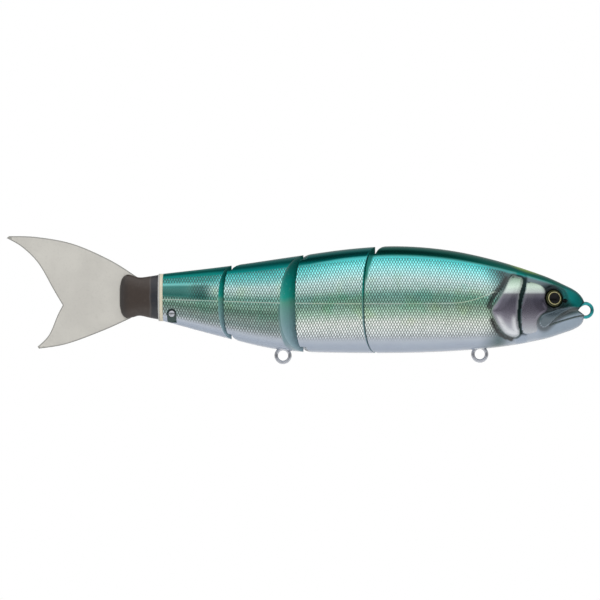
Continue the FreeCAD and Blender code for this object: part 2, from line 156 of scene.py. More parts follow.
def rise_at(x, z):
    """-1 at the belly's line, +1 at the back's."""
    top, bottom = along(BACK, x), along(BELLY, x)
    return (z - (top + bottom) / 2) / ((top - bottom) / 2)


def lean(hinge, radius, reach):
    """Angle of a V's sides, from its nose radius and its reach at the body's half-width."""
    back = reach - hinge["nose"]
    return math.atan2(back, hinge["half"]) + math.asin(radius / math.hypot(back, hinge["half"]))


def wedge_x(x, radius, angle, y):
    """Where a rounded vertical V centred on x stands at a distance y from the centre plane."""
    y = np.abs(y)
    tangent = radius * math.sin(angle)
    arc = x + np.sqrt(np.maximum(radius ** 2 - y ** 2, 0))
    flat = x + radius * math.cos(angle) - (y - tangent) * math.tan(angle)
    return np.where(y < tangent, arc, flat)


def front_x(index, y):
    """The front of a section at a distance y from the centre plane."""
    if index == 0:
        return np.full_like(y, NOSE_END)
    hinge = HINGES[index - 1]
    return wedge_x(hinge["x"], hinge["nose"], lean(hinge, hinge["nose"], hinge["nose_reach"]), y)


def rear_x(index, y):
    if index == len(HINGES):
        return np.full_like(y, BODY_REAR)
    hinge = HINGES[index]
    radius = hinge["nose"] + JOINT_GAP
    return wedge_x(hinge["x"], radius, lean(hinge, radius, hinge["cup_reach"]), y)


def corner_clip(index, x, z):
    """Lowers the skin to the rounded rear corners of a leading section."""
    if index == len(HINGES):
        return z
    hinge = HINGES[index]
    apex = hinge["x"] + hinge["nose"] + JOINT_GAP
    for (length, height), line, sign in ((hinge["trim"], BACK, 1), (hinge["belly_trim"], BELLY, -1)):
        t = np.clip((apex + length - x) / length, 0, 1)
        limit = along(line, x) * sign - height * (1 - np.sqrt(1 - t ** 2))
        z = np.where(x < apex + length, sign * np.minimum(sign * z, limit), z)
    return z


# ---- distances to drawn outlines


def curve_through(points, closed=False, steps=10):
    """Smooth line through given points, as many points as its shape needs to look round."""
    p = np.array(points, float)
    ends = (p[-1:], p[:2]) if closed else (p[:1], p[-1:])
    p = np.concatenate([ends[0], p, ends[1]])
    out = []
    for a, b, c, d in zip(p, p[1:], p[2:], p[3:]):
        for t in np.arange(steps) / steps:
            out.append(0.5 * ((2 * b) + (c - a) * t + (2 * a - 5 * b + 4 * c - d) * t * t
                              + (3 * b - a - 3 * c + d) * t ** 3))
    return np.array(out if closed else out + [p[-1]])


def distance(x, z, line, closed=False):
    """Distance from each place to a line, in millimetres."""
    q = np.stack([x, z], 1)
    best = np.full(len(q), 1e9)
    for a, b in zip(line, np.roll(line, -1, 0) if closed else line[1:]):
        ab = b - a
        t = np.clip(((q - a) @ ab) / max(ab @ ab, 1e-12), 0, 1)
        best = np.minimum(best, ((q - a - t[:, None] * ab) ** 2).sum(1))
    return np.sqrt(best)


def inside(x, z, loop):
    """Whether each place lies in a closed loop."""
    hit = np.zeros(len(x), bool)
    for (x0, z0), (x1, z1) in zip(loop, np.roll(loop, -1, 0)):
        crosses = (z0 > z) != (z1 > z)
        with np.errstate(divide="ignore", invalid="ignore"):
            hit ^= crosses & (x < (x1 - x0) * (z - z0) / (z1 - z0) + x0)
    return hit


def depth_in(x, z, loop):
    """Distance to a closed loop, positive inside."""
    d = distance(x, z, loop, True)
    return np.where(inside(x, z, loop), d, -d)


# ---- the head's drawn features

EYE = (-16.6, 6.1)
SOCKET_R = 4.8
SOCKET_DEPTH = 2.3
NOSTRIL = (-11.1, 4.8)
GILL = curve_through([
    (-38.6, 17.1), (-35.4, 17.2), (-32.9, 16.3), (-32.9, 13), (-34.4, 8.5), (-35.3, 2),
    (-35.4, -3.5), (-35, -7.8), (-34.1, -11.6), (-35.6, -13.4), (-38.4, -13.3), (-41.8, -11.6),
    (-44.6, -8.3), (-46.9, -4.2), (-48.4, 0), (-46.3, 3.6), (-42.7, 9.1)], True, 6)
CHEEK = curve_through([
    (-30.3, 14.3), (-26.3, 14.1), (-23, 12.6), (-21.2, 10.2), (-21, 5), (-20, 1.6),
    (-20.8, -0.6), (-23.4, -2.4), (-25.2, -5.2), (-25.2, -8.4), (-25.1, -10.6), (-28.4, -11.9),
    (-32, -11.6), (-33, -9), (-33.7, -3.8), (-33.5, 1.7), (-32.5, 6.4), (-31.3, 10.5)], True, 6)
MAXILLA = curve_through([
    (-24, -4.6), (-22.2, -2), (-18.5, -0.6), (-14, 0.8), (-7.6, 2), (-4.6, 1.6), (-8, 0.7),
    (-12.6, -1.6), (-16.3, -4.3), (-20.2, -7.9), (-22, -8.6), (-23.6, -7.4)], True, 6)
JAW_LINE = curve_through([(-18.6, -7.4), (-15, -6.2), (-10.8, -4.9), (-5, -3.3), (-0.4, -2.6)])
MOUTH_CORNER = curve_through([(-18.8, -6.6), (-13, -2.6), (-8, 0.1), (-4.2, 0)])
GILL_LINES = [curve_through([(-47, -3.9), (-42, -6.6), (-37, -9.6), (-33, -12)]),
              curve_through([(-41.9, -11.3), (-37, -11.9), (-33, -12.1)])]
LATERAL = curve_through([
    (-216, 5.6), (-184, 4.6), (-150, 3.6), (-107, 3.4), (-70, 3.6), (-60, 4.8),
    (-53, 7), (-47.5, 9.3)], False, 5)
MOUTH_LINES = [np.array([(-4.1, 0), (0.3, 5.6)]), np.array([(-4.1, 0), (0.3, -3.2)])]
SHADOW_TOP = curve_through([(-41.2, 16), (-44.4, 11.4), (-48, 7), (-49.8, 2)])
SHADOW_LOW = curve_through([(-48.6, -5), (-46.2, -9.6), (-42.6, -13.2), (-38.2, -14.8)])


def plate_depths(x, z):
    return [depth_in(x, z, loop) for loop in (GILL, CHEEK, MAXILLA)]


def head_relief(x, z):
    """How far the head's skin stands out, in millimetres, from its plates, grooves and lids."""
    gill, cheek, maxilla = plate_depths(x, z)
    out = 0.75 * smooth(-0.25, 1.5, gill) + 0.35 * smooth(0.5, 5, gill)
    out -= 0.35 * smooth(1.6, 0.2, np.abs(gill + 0.9)) * (gill < 0)
    out += 0.6 * smooth(-0.3, 1.3, cheek)
    out += 0.65 * smooth(-0.1, 0.8, maxilla)
    out -= 0.5 * smooth(0.7, 0, distance(x, z, JAW_LINE))
    out -= 0.3 * smooth(0.6, 0, distance(x, z, MOUTH_CORNER)) * (maxilla < 0)
    for line in GILL_LINES:
        out -= 0.22 * smooth(0.45, 0, distance(x, z, line))
    eye = np.hypot(x - EYE[0], z - EYE[1])
    out += 0.55 * smooth(7.4, 5.3, eye) * smooth(4.6, 5.2, eye)
    nostril = np.hypot((x - NOSTRIL[0]) / 1.1, (z - NOSTRIL[1]) / 0.8)
    out += 0.25 * smooth(2.6, 1.3, nostril)
    out -= 0.9 * smooth(1.1, 0.5, nostril)
    return out


# ---- meshes

HEAD_ROWS = 150            # rows of points from belly to back
BODY_ROWS = 84
COLUMN_STEP = 0.75         # millimetres between the columns behind the head
EDGE = 9                   # columns across half a cup or nose
RIM_ROUND = 0.35
SIDES = ((-1, "right"), (1, "left"))


def link(name, data):
    obj = bpy.data.objects.new(name, data)
    bpy.context.scene.collection.objects.link(obj)
    return obj


def new_object(name, points, faces, smooth_faces=True):
    mesh = bpy.data.meshes.new(name)
    mesh.from_pydata([tuple(p) for p in points], [], faces)
    mesh.update()
    mesh.polygons.foreach_set("use_smooth", [smooth_faces] * len(mesh.polygons))
    return link(name, mesh)


def evaluated_mesh(obj):
    graph = bpy.context.evaluated_depsgraph_get()
    return bpy.data.meshes.new_from_object(obj.evaluated_get(graph))


def apply_modifiers(obj):
    mesh, old = evaluated_mesh(obj), obj.data
    obj.modifiers.clear()
    obj.data = mesh
    bpy.data.meshes.remove(old)


def points_of(mesh):
    return np.array([v.co for v in mesh.vertices], float).reshape(-1, 3)


def sharpen(obj, degrees=50):
    obj.data.set_sharp_from_angle(angle=math.radians(degrees))
    return obj


def shares_along(index):
    """Where a section's columns stand, from 0 at its rear to 1 at its front, finer on the face."""
    if index == 0:
        return np.concatenate([np.linspace(0, 0.5, 60, endpoint=False), np.linspace(0.5, 1, 124)])
    return np.linspace(0, 1, int((STRAIGHT[index - 1] - STRAIGHT[index]) / COLUMN_STEP))


def section_rows(index, rows):
    """Points of half a section, row by row from belly to back: cup, flank and nose."""
    angles = np.linspace(-math.pi / 2, math.pi / 2, rows)
    front = front_x(index, np.zeros(rows))
    rear = rear_x(index, np.zeros(rows))
    for _ in range(12):
        front = front_x(index, flank(front, angles)[0])
        rear = rear_x(index, flank(rear, angles)[0])
    t = np.linspace(0, 1, EDGE, endpoint=False)
    table = []
    for j, angle in enumerate(angles):
        x = rear[j] + (front[j] - rear[j]) * shares_along(index)
        y, z = flank(x, np.full_like(x, angle))
        z = corner_clip(index, x, z)
        cup_y, nose_y = y[0] * t, (y[-1] * t)[::-1]
        cup = np.stack([rear_x(index, cup_y), cup_y, np.full(EDGE, z[0])], 1)
        nose = np.stack([front_x(index, nose_y), nose_y, np.full(EDGE, z[-1])], 1)
        table.append(np.concatenate([cup, np.stack([x, y, z], 1), nose]))
    return np.array(table)


def raise_head(table):
    """Stand the head's plates and grooves out along the skin, and bring the nose tip along."""
    skin = table[:, EDGE:-EDGE]
    normal = np.cross(np.gradient(skin, axis=1), np.gradient(skin, axis=0))
    normal /= np.maximum(np.linalg.norm(normal, axis=2, keepdims=True), 1e-9)
    normal *= np.sign(normal[len(table) // 2, 10, 1])
    x, y, z = (skin[:, :, k].ravel() for k in range(3))
    out = (head_relief(x, z) * smooth(0, 1.2, y)).reshape(skin.shape[:2])
    skin += normal * out[:, :, None]
    table[:, -EDGE:, 2] = table[:, -EDGE - 1, 2][:, None]


def half_shell(index, side, word):
    """One moulded half of a section: skin, nose, cup and centre wall."""
    rows = BODY_ROWS if index else HEAD_ROWS
    table = section_rows(index, rows)
    count = table.shape[1]
    if index == 0:
        raise_head(table)
    bm = bmesh.new()
    verts = [bm.verts.new(p) for p in table.reshape(-1, 3) * np.array([1, side, 1])]
    weight = bm.edges.layers.float.new("bevel_weight_edge")
    for j in range(rows - 1):
        for i in range(count - 1):
            a = j * count + i
            quad = (a, a + 1, a + count + 1, a + count)
            face = bm.faces.new([verts[v] for v in (quad[::-1] if side > 0 else quad)])
            face.material_index = int(not EDGE <= i < count - EDGE - 1)
            face.smooth = True
    for j in range(rows - 1):
        for i in (EDGE, count - EDGE - 1):
            bm.edges.get((verts[j * count + i], verts[(j + 1) * count + i]))[weight] = 1
    bmesh.ops.remove_doubles(bm, verts=bm.verts, dist=1e-4)
    rim = [e for e in bm.edges if e.is_boundary]
    for face in bmesh.ops.holes_fill(bm, edges=rim, sides=0)["faces"]:
        face.material_index = 1
    bmesh.ops.recalc_face_normals(bm, faces=bm.faces)
    mesh = bpy.data.meshes.new("half")
    bm.to_mesh(mesh)
    bm.free()
    return link(f"{SECTIONS[index]}_skin_{word}", mesh)


# ---- cutting

SLOT_HALF = 1.1            # room in a nose for a hinge eye: half-height, radius, half-width
SLOT_R = 3.2
SLOT_WIDE = 5.5


def face_outwards(mesh):
    bm = bmesh.new()
    bm.from_mesh(mesh)
    bmesh.ops.recalc_face_normals(bm, faces=bm.faces)
    bm.to_mesh(mesh)
    bm.free()


def coat_skin(mesh):
    for material in (SKIN, JOINT, RECESS):
        mesh.materials.append(material)


def cut(obj, tools):
    """Boolean difference, applied; the tools are used up. The cut faces take the recess slot."""
    for tool in tools:
        coat_skin(tool.data)
        tool.data.polygons.foreach_set("material_index", [2] * len(tool.data.polygons))
        face_outwards(tool.data)
        change = obj.modifiers.new("cut", "BOOLEAN")
        change.operation = "DIFFERENCE"
        change.solver = "EXACT"
        change.object = tool
    apply_modifiers(obj)
    for tool in tools:
        bpy.data.objects.remove(tool)


def band_faces(low, high, count):
    """Quads between two closed loops of points that start at low and high."""
    return [(low + k, low + (k + 1) % count, high + (k + 1) % count, high + k) for k in range(count)]


def round_angles(count):
    return np.linspace(0, 2 * math.pi, count, endpoint=False)


def block(low, high):
    """Closed box between two corners, in millimetres of the straight body."""
    (x0, y0, z0), (x1, y1, z1) = low, high
    points = [(x, y, z) for x in (x0, x1) for y in (y0, y1) for z in (z0, z1)]
    faces = [(0, 1, 3, 2), (4, 6, 7, 5), (0, 4, 5, 1), (2, 3, 7, 6), (0, 2, 6, 4), (1, 5, 7, 3)]
    return new_object("tool", points, faces, False)


def turned(profile, place, axis, steps=48, name="turned"):
    """Solid of revolution: (radius, height) pairs from pole to pole, round an axis through a place."""
    axis = Vector(axis).normalized()
    across = axis.orthogonal().normalized()
    up = axis.cross(across)
    points, faces, rings = [], [], []
    for radius, height in profile:
        spread = steps if radius > 0 else 1
        rings.append(range(len(points), len(points) + spread))
        for k in range(spread):
            a = 2 * math.pi * k / steps
            out = (across * math.cos(a) + up * math.sin(a)) * radius
            points.append(Vector(place) + axis * height + out)
    for lower, upper in zip(rings, rings[1:]):
        for k in range(steps):
            n = (k + 1) % steps
            corners = dict.fromkeys(ring[i % len(ring)] for ring, i in
                                    ((lower, k), (lower, n), (upper, n), (upper, k)))
            if len(corners) > 2:
                faces.append(tuple(corners))
    return new_object(name, points, faces)


def drum(radius, low, high):
    """Profile of a plain cylinder for turned()."""
    return [(0, low), (radius, low), (radius, high), (0, high)]


def prism_across(outline, half):
    """Prism across the body from (x, z) points."""
    count = len(outline)
    points = [(x, -half, z) for x, z in outline] + [(x, half, z) for x, z in outline]
    ends = [tuple(range(count))[::-1], tuple(range(count, 2 * count))]
    return new_object("tool", points, ends + band_faces(0, count, count), False)


def skin_place(x, z, side):
    """Point and outward direction of the skin at a place on the flank, before relief."""

    def half(at_x, at_z):
        rise = min(abs(float(rise_at(at_x, at_z))), 1)
        return float(along(BREADTH, at_x)) * (1 - rise ** POWER) ** (1 / POWER)

    step = 1
    slope_x = (half(x + step, z) - half(x - step, z)) / (2 * step)
    slope_z = (half(x, z + step) - half(x, z - step)) / (2 * step)
    out = Vector((-slope_x, side, -slope_z)).normalized()
    return Vector((x, side * half(x, z), z)), out


def hinge_slot(hinge, z):
    """Room in a nose for a hinge eye and its swing."""
    x, low, high = hinge["x"], z - SLOT_HALF, z + SLOT_HALF
    return [turned(drum(SLOT_R, low, high), (x, 0, 0), (0, 0, 1), 24),
            block((x, -SLOT_WIDE, low), (x + hinge["nose"] + 1, SLOT_WIDE, high))]


# ---- fields that the materials read


def set_field(mesh, name, values):
    layer = mesh.attributes.new(name, "FLOAT", "POINT")
    layer.data.foreach_set("value", np.asarray(values, np.float32))


def set_colour(mesh, name, values):
    layer = mesh.color_attributes.new(name, "FLOAT_COLOR", "POINT")
    rgba = np.ones((len(values), 4), np.float32)
    rgba[:, :3] = np.clip(values, 0, 1)
    layer.data.foreach_set("color", rgba.ravel())


def over(base, mask, colour):
    """Lay a colour, or a colour for each place, over the base where the mask is 1."""
    mask = np.clip(np.asarray(mask, float), 0, 1)[:, None]
    return base * (1 - mask) + np.array(colour, float) * mask


def layered(colour, layers):
    """Lay (mask, colour) layers over the base, first to last."""
    for mask, tint in layers:
        colour = over(colour, mask, tint)
    return colour


def bands(value, stops):
    """Colours along a scale of (place, red, green, blue) rows, blended in between."""
    places, *parts = zip(*stops)
    return np.stack([np.interp(value, places, part) for part in parts], 1)


def girth(x, z):
    """Distance round the skin from mid-height, in millimetres, up positive."""
    across, height = oval(np.linspace(-math.pi / 2, math.pi / 2, 181))
    lengths = np.concatenate([[0], np.cumsum(np.hypot(np.diff(0.55 * across), np.diff(height)))])
    lengths -= np.interp(0, height, lengths)
    half = (along(BACK, x) - along(BELLY, x)) / 2
    return np.interp(np.clip(rise_at(x, z), -1, 1), height, lengths) * half


# colours by rise on the body, partly painted reflection; by height on the gill plates, a painted
# reflection; and by rise on noses and cups
# the silver-white bands and the darker green stripe between them are partly the skin's own colour and
# partly painted reflection of a bright sky above a dark horizon
BODY_COLOUR_AND_SHEEN_BANDS = [
    (-1, 0.3, 0.36, 0.46), (-0.86, 0.37, 0.43, 0.53), (-0.74, 0.46, 0.51, 0.58),
    (-0.62, 0.78, 0.86, 0.86), (-0.42, 0.88, 1, 0.9), (-0.22, 0.6, 0.98, 0.74),
    (-0.08, 0.34, 0.62, 0.5), (0.1, 0.27, 0.62, 0.53), (0.22, 0.62, 0.95, 0.86),
    (0.38, 0.66, 1, 0.96), (0.52, 0.46, 1, 0.98), (0.66, 0.26, 0.98, 0.98),
    (0.78, 0.05, 0.7, 0.7), (0.82, 0.02, 0.42, 0.42), (0.845, 0.0005, 0.21, 0.2),
    (1, 0.0005, 0.17, 0.16),
]
# painted reflection on the gunmetal gill plates by height: bright low down, dark horizon across the
# middle, pale sky at the top
GILL_METAL_AND_REFLECTION_BANDS = [
    (-14, 0.34, 0.37, 0.42), (-11, 0.58, 0.61, 0.66), (-8.5, 0.4, 0.41, 0.46), (-5, 0.25, 0.24, 0.29),
    (0, 0.18, 0.165, 0.22), (5.5, 0.105, 0.1, 0.14), (8.2, 0.15, 0.15, 0.18), (9.2, 0.56, 0.62, 0.61),
    (12, 0.64, 0.8, 0.68), (15.5, 0.3, 0.44, 0.34), (17.5, 0.12, 0.22, 0.18),
]
NOSE_BANDS = [
    (-1, 0.28, 0.36, 0.42), (-0.8, 0.15, 0.26, 0.3), (-0.3, 0.085, 0.2, 0.185),
    (0.2, 0.08, 0.21, 0.165), (0.5, 0.01, 0.17, 0.13), (0.8, 0.001, 0.17, 0.15),
]

# edges of the painted cup behind the head and nose of the rear body: (rise, x)
NOSE_EDGE = curve_through([
    (-1, -148.5), (-0.93, -152.6), (-0.8, -154.4), (-0.5, -156.1), (-0.2, -156.9), (0.1, -156),
    (0.5, -151), (1, -140)])
CUP_EDGE = curve_through([
    (-1, -125), (-0.1, -114.5), (0.19, -112.9), (0.38, -111.8), (0.62, -110.2), (0.76, -108.9),
    (0.92, -107), (1, -105.8)])


def tailward(x):
    return smooth(-120, -165, x)


def snout_mask(x, z):
    return smooth(-14.5, -7.5, x + 0.3 * (z - 6)) * smooth(0.6, 2.2, z)


def channel_shade_mask(x, gill, cheek):
    """Painted shade: the dark channel between the gill plate and the cheek."""
    return smooth(-36.6, -35, x) * smooth(-29.5, -31, x) * (gill < 0) * (cheek < 0)


def paint_body(x, z):
    """Colour of the skin: dark back, cyan, silver, green stripe, silver, pearl belly; the silver bands
    and the green stripe between them are partly painted reflection of a bright sky and a dark horizon.
    """
    rise = rise_at(x, z)
    to_tail = tailward(x)
    colour = bands(rise + 0.07 * to_tail * smooth(0.4, 0.8, rise), BODY_COLOUR_AND_SHEEN_BANDS)
    teal = to_tail * smooth(0.3, 0.62, rise) * smooth(0.82, 0.78, rise)
    colour = over(colour, 0.62 * teal, (0.006, 0.34, 0.32))
    lower = smooth(-149, -151, x) * smooth(-0.08, -0.22, rise) * smooth(-0.8, -0.55, rise)
    colour = colour * (1 - lower[:, None] * np.array([0.7, 0.62, 0.62]))
    tail = smooth(-187, -196, x) * smooth(-0.08, 0.12, rise) * smooth(0.56, 0.44, rise)
    top = smooth(-183, -192, x) * smooth(0.5, 0.62, rise)
    warm = smooth(-107, -60, x) * smooth(-0.75, -0.3, rise) * smooth(0, -0.15, rise)
    return layered(colour, [(0.93 * tail, (0.004, 0.16, 0.14)), (0.75 * top, (0.005, 0.24, 0.21)),
                            (0.3 * warm, (0.6, 0.62, 0.5))])


def paint_head(x, z):
    """The body's colours carried on to the face, with gill plates, eye surround, snout and jaw; the
    gill plates and cheek carry a painted reflection and a painted highlight, the channel and grooves
    beside them painted shade.
    """
    rise = rise_at(x, z)
    gill, cheek, maxilla = plate_depths(x, z)
    face = smooth(-50, -36, x + 0.35 * np.abs(z - 2)) * smooth(0.86, 0.74, rise)
    slate = smooth(-36, -31, x) * smooth(0.42, 0.6, rise) * smooth(0.84, 0.76, rise)
    throat = smooth(-0.35, -0.62, rise) * smooth(-46, -36, x)
    socket = smooth(14, 6, np.hypot((x - EYE[0] + 1.5) * 0.8, (z - EYE[1] + 1.5) * 1.1))
    corner = smooth(-2.5, -8, x + 1.1 * (z - 1)) * smooth(5.5, 3, z) * (z > 0)
    under = smooth(-26, -21, x) * smooth(0.5, -1.5, z) * smooth(-4, -7, z - 0.25 * (x + 20))
    lip = smooth(-30, -26, x) * smooth(-3.5, -1, maxilla) * (maxilla < 0) * (z < 1.5)
    plate = bands(z, GILL_METAL_AND_REFLECTION_BANDS)
    # painted highlight on the lower part of the gill plate
    painted_gill_highlight = smooth(0.5, 1.6, gill) * smooth(4.2, 1.8, gill) * smooth(-1, -5, z)
    channel = channel_shade_mask(x, gill, cheek) * smooth(-13.5, -11.5, z) * smooth(17.5, 16, z)
    across = (1 - np.clip(rise, 0, 1) ** POWER) ** (1 / POWER)
    nape = smooth(1.15, 0.45, np.hypot((x + 31) / 10.5, across / 0.52))
    eye_side = smooth(-24, -19, x) * smooth(-4, 0, z) * (cheek > 0)
    # painted shade in the groove just outside the gill plate's edge
    groove = smooth(0.9, 0.2, np.abs(gill + 0.5)) * (gill < 0.1)
    ragged = 0.8 * np.sin(2.3 * x + 3.1 * z) * np.sin(1.1 * z - 0.7 * x)
    above = smooth(2.2, 0.6, distance(x, z, SHADOW_TOP) + 0.6 * ragged) * (gill < 0.2)
    below = smooth(1.5, 0.4, distance(x, z, SHADOW_LOW) + 0.5 * ragged) * (gill < 0.2)
    mouth = np.minimum(*(distance(x, z, line) for line in MOUTH_LINES))
    nostril = np.hypot((x - NOSTRIL[0]) / 1.5, (z - NOSTRIL[1]) / 1.05)
    return layered(paint_body(x, z), [
        (face, (0.028, 0.085, 0.09)),
        (0.8 * slate, (0.1, 0.16, 0.19)),
        (throat, (0.36, 0.42, 0.51)),
        (0.95 * socket * smooth(-4, -1, z), (0.003, 0.005, 0.006)),
        (snout_mask(x, z), (0.004, 0.17, 0.165)),
        (0.8 * corner * smooth(-16, -12.5, x), (0.002, 0.018, 0.018)),
        (smooth(0.78, 0.86, rise) * smooth(-9, -14, x), (0.002, 0.14, 0.11)),
        (under, (0.26, 0.33, 0.41)),
        (0.8 * lip, (0.03, 0.04, 0.045)),
        (smooth(0, 0.5, maxilla), (0.085, 0.12, 0.145)),
        # gill plate: the painted reflection, eased towards mid grey near its rim as a soft painted edge
        # highlight
        (gill > 0, over(plate, 0.5 * smooth(1.2, 0, gill), (0.3, 0.34, 0.34))),
        (0.7 * painted_gill_highlight, (0.82, 0.84, 0.87)),
        # cheek: a darker copy of the same painted reflection
        (smooth(0, 0.5, cheek), 0.85 * plate),
        # painted shade down the channel between gill plate and cheek
        (0.9 * channel, (0.004, 0.01, 0.01)),
        (0.85 * nape, (0.36, 0.62, 0.04)),
        (0.85 * eye_side, (0.02, 0.02, 0.03)),
        (0.75 * groove, (0.01, 0.03, 0.025)),
        # painted shade along the groove of the jaw line
        (0.95 * smooth(0.7, 0.2, distance(x, z, JAW_LINE)), (0.006, 0.03, 0.03)),
        (0.9 * above, (0.006, 0.012, 0.012)),
        (0.95 * below, (0.006, 0.01, 0.01)),
        (0.9 * smooth(0.9, 0.3, mouth), (0.002, 0.03, 0.03)),
        (smooth(1.25, 0.8, nostril), (0.002, 0.004, 0.004))])


def add_fields(obj, index):
    """Fields of a skin: paint, how much it shows scales, the scale lattice and the lateral line."""
    mesh = obj.data
    x, _, z = points_of(mesh).T
    x = np.clip(x, BODY_REAR, NOSE_END)
    rise = rise_at(x, z)
    paint = paint_body(x, z) if index else paint_head(x, z)
    scales = smooth(-0.8, -0.66, rise) * smooth(0.8, 0.765, rise)
    deep = smooth(0.825, 0.85, rise + (0.07 * tailward(x) if index else 0))
    matt = np.ones(len(x))
    joint_colour = bands(rise, NOSE_BANDS)
    if index == 0:
        gill, cheek, _ = plate_depths(x, z)
        cup = smooth(0.45, -0.45, x - np.interp(rise, *CUP_EDGE.T))
        paint = over(paint, cup, joint_colour)
        front = smooth(-41, -45.5, x + 0.12 * np.abs(z - 2) - 0.35 * np.maximum(z - 8, 0))
        scales *= (1 - cup) * front * (gill < -0.4)
        matt = 1 - smooth(-0.2, 0.3, np.maximum(gill, cheek))
        socket = smooth(10, 7, np.hypot((x - EYE[0] + 1.5) * 0.8, z - EYE[1] + 1))
        deep = np.max([deep, snout_mask(x, z), 0.8 * cup * smooth(0.25, 0.5, rise), 0.9 * socket,
                       channel_shade_mask(x, gill, cheek)], 0)
    if index == 2:
        nose = smooth(-0.35, 0.35, x - np.interp(rise, *NOSE_EDGE.T))
        paint = over(paint, nose, joint_colour)
        scales *= 1 - nose
    if index == len(HINGES):
        plain = smooth(-196, -207, x) * smooth(0.02, 0.12, rise) * smooth(0.62, 0.52, rise)
        scales *= 1 - plain
        deep = np.maximum(deep, 0.7 * plain)
    set_colour(mesh, "paint", paint)
    above_line = np.sign(z - np.interp(x, *LATERAL.T))
    for name, values in {"deep": deep, "scales": scales, "matt": matt, "rise": rise, "scale_u": x,
                         "scale_v": girth(x, z),
                         "lateral": distance(x, z, LATERAL) * above_line}.items():
        set_field(mesh, name, values)


# ---- materials

SCALE_WIDE = 1.39          # millimetres along the body
SCALE_TALL = 2.8           # millimetres round it


class Nodes:
    """Short way to write the node tree of a material or a world."""

    def __init__(self, owner):
        owner.use_nodes = True
        self.owner = owner
        self.tree = owner.node_tree

    def add(self, kind, inputs=(), **settings):
        """New node with its settings, and its inputs in order or by name."""
        node = self.tree.nodes.new(kind)
        for key, value in settings.items():
            setattr(node, key, value)
        for key, value in inputs.items() if isinstance(inputs, dict) else enumerate(inputs):
            self.put(node.inputs[key], value)
        return node

    def put(self, socket, value):
        if isinstance(value, bpy.types.NodeSocket):
            self.tree.links.new(value, socket)
        elif socket.type == "RGBA":
            socket.default_value = (*value, 1)
        else:
            socket.default_value = value

    def math(self, operation, *values):
        return self.add("ShaderNodeMath", values, operation=operation).outputs[0]

    def times(self, a, b):
        return self.math("MULTIPLY", a, b)

    def line(self, value, slope, start):
        return self.math("MULTIPLY_ADD", value, slope, start)

    def size(self, value):
        return self.math("ABSOLUTE", value)

    def ramp(self, value, low, high, out_low=0, out_high=1):
        return self.add("ShaderNodeMapRange", (value, low, high, out_low, out_high),
                        interpolation_type="SMOOTHSTEP").outputs[0]

    def colours(self, value, stops):
        """Colour ramp through (place, red, green, blue) stops."""
        node = self.add("ShaderNodeValToRGB", [value])
        elements = node.color_ramp.elements
        elements[0].position, elements[1].position = stops[0][0], stops[-1][0]
        for place, *_ in stops[1:-1]:
            elements.new(place)
        for element, (place, *colour) in zip(elements, stops):
            element.position = place
            element.color = (*colour, 1)
        return node.outputs[0]

    def field(self, name, output="Fac"):
        return self.add("ShaderNodeAttribute", attribute_name=name).outputs[output]

    def mix(self, share, a, b, blend="MIX"):
        return self.add("ShaderNodeMix", {"Factor": share, 6: a, 7: b}, data_type="RGBA",
                        blend_type=blend).outputs[2]

    def place(self, name="Object"):
        return self.add("ShaderNodeTexCoord").outputs[name]

    def parts(self, vector):
        return self.add("ShaderNodeSeparateXYZ", [vector]).outputs

    def joined(self, *values):
        return self.add("ShaderNodeCombineXYZ", values).outputs[0]

    def noise(self, scale, detail=2):
        return self.add("ShaderNodeTexNoise", {"Scale": scale, "Detail": detail,
                                               "Vector": self.place()}).outputs["Fac"]

    def bump(self, height, distance, strength):
        return self.add("ShaderNodeBump", {"Strength": strength, "Distance": distance,
                                           "Height": height}).outputs["Normal"]

    def set(self, **values):
        names = {"colour": "Base Color", "metal": "Metallic", "rough": "Roughness", "normal": "Normal",
                 "coat": "Coat Weight", "coat_rough": "Coat Roughness",
                 "specular": "Specular IOR Level"}
        shader = self.tree.nodes["Principled BSDF"]
        for key, value in values.items():
            self.put(shader.inputs[names[key]], value)
        return self.owner


def new_nodes(name):
    return Nodes(bpy.data.materials.new(name))


def diamond_edge(n, a, b):
    """Distance from the edge of a diamond cell, 0 to 0.5, from the two lattice coordinates."""
    return n.math("MINIMUM", n.math("PINGPONG", a, 0.5), n.math("PINGPONG", b, 0.5))


